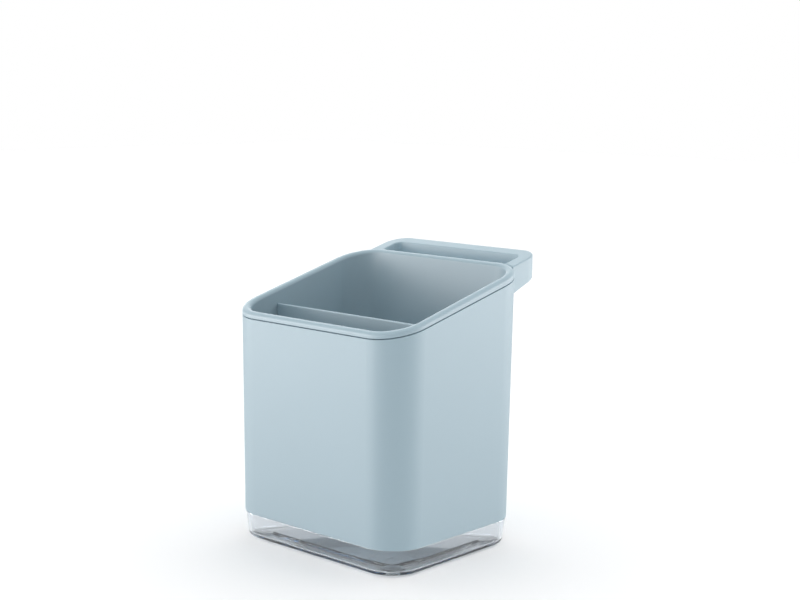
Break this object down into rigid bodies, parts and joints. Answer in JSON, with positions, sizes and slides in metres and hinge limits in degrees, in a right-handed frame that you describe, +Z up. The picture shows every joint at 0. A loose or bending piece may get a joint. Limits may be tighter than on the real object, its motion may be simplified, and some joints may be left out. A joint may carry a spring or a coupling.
{
  "type": "sink caddy with cloth rail",
  "caption": "Free-standing sink caddy: drafted shell with a rear cloth rail, lift-out drained liner with divider, clear drip tray on soft feet.",
  "frame": {"origin": "middle of the caddy and its rail seen from above, on the surface that the feet stand on", "axes": "+X to the right seen from the front, +Y to the rear where the cloth rail is, +Z up; the front faces -Y"},
  "size_m": [0.1404, 0.1419, 0.1755],
  "materials": {
    "shell_plastic": "fine satin texture, pale grey-blue",
    "liner_plastic": "satin, pale grey-blue",
    "clear_plastic": "clear, polished moulded plastic",
    "clear_rubber": "translucent, matte"
  },
  "bodies": {
    "tray": {"drip_tray": "clear_plastic", "foot_front_left": "clear_rubber", "foot_front_right": "clear_rubber", "foot_rear_left": "clear_rubber", "foot_rear_right": "clear_rubber"},
    "shell": {"outer_shell": "shell_plastic"},
    "liner": {"inner_liner": "liner_plastic"},
    "panel": {"divider": "liner_plastic"}
  },
  "joints": [
    {"name": "tray_lift_off", "type": "slide", "parent": "tray", "child": "shell", "axis": [0, 0, 1], "range_m": [0, 0.04]},
    {"name": "liner_lift_out", "type": "slide", "parent": "shell", "child": "liner", "axis": [0, 0, 1], "range_m": [0, 0.16]},
    {"name": "divider_lift_out", "type": "slide", "parent": "liner", "child": "panel", "axis": [0, 0, 1], "range_m": [0, 0.15]}
  ]
}
